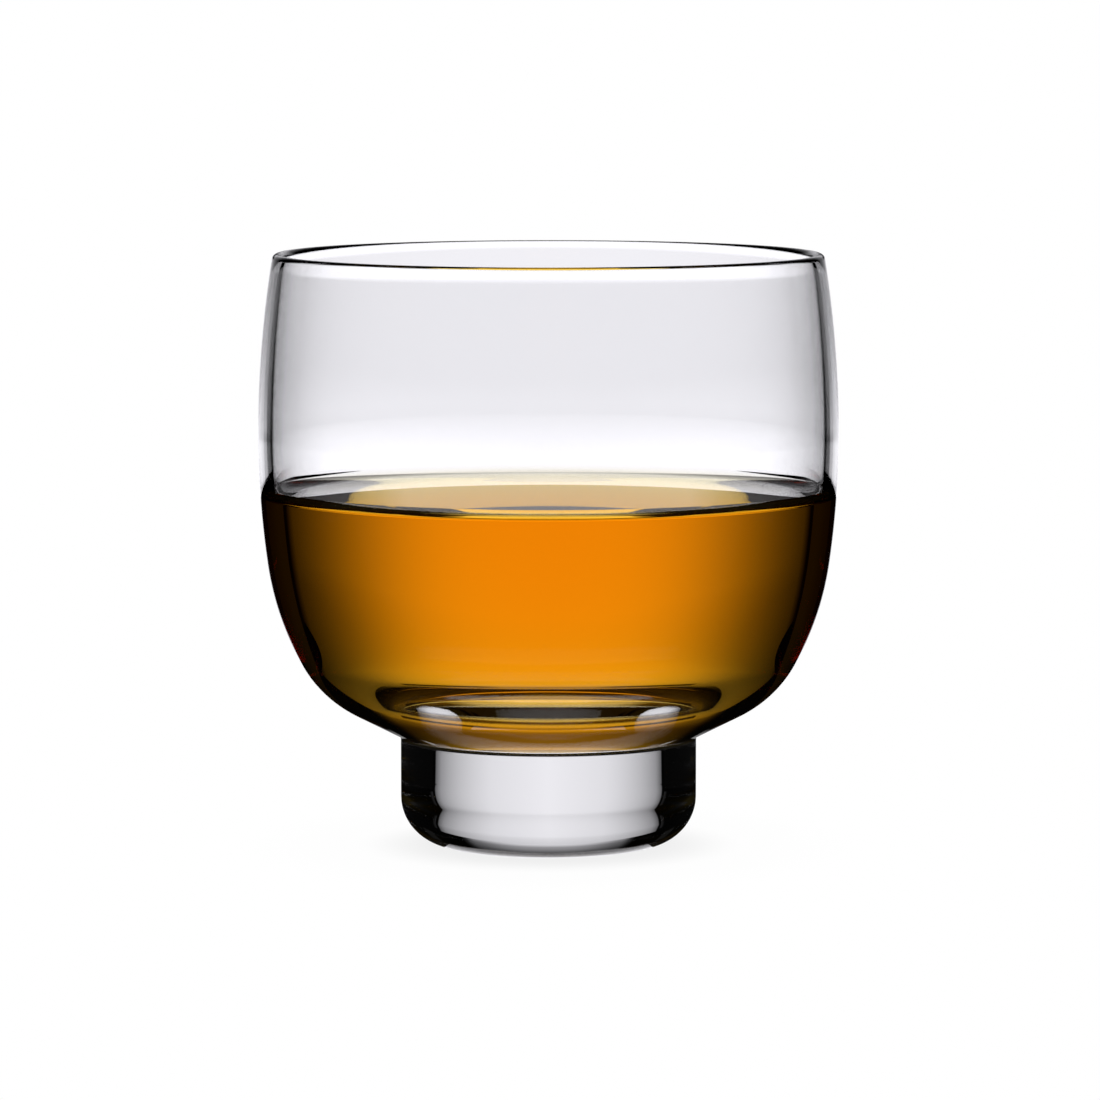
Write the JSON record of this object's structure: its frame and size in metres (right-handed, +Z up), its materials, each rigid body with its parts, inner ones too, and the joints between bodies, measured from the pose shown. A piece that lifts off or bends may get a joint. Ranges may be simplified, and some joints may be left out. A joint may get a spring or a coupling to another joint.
{
  "type": "whiskey tumbler",
  "caption": "Clear glass whiskey tumbler: a rounded thin-walled bowl on a solid round foot, holding a level pour of amber whisky.",
  "frame": {"origin": "centre of the foot's flat underside, on the surface that the tumbler stands on", "axes": "+Z up along the axis of the bowl and foot; the piece is round, so X and Y are any two level directions"},
  "size_m": [0.088, 0.088, 0.09],
  "materials": {
    "clear_glass": "polished",
    "foot_glass": "polished",
    "whisky": "polished"
  },
  "bodies": {
    "root": {"bowl": "clear_glass", "foot": "foot_glass", "whisky": "whisky"}
  },
  "joints": []
}
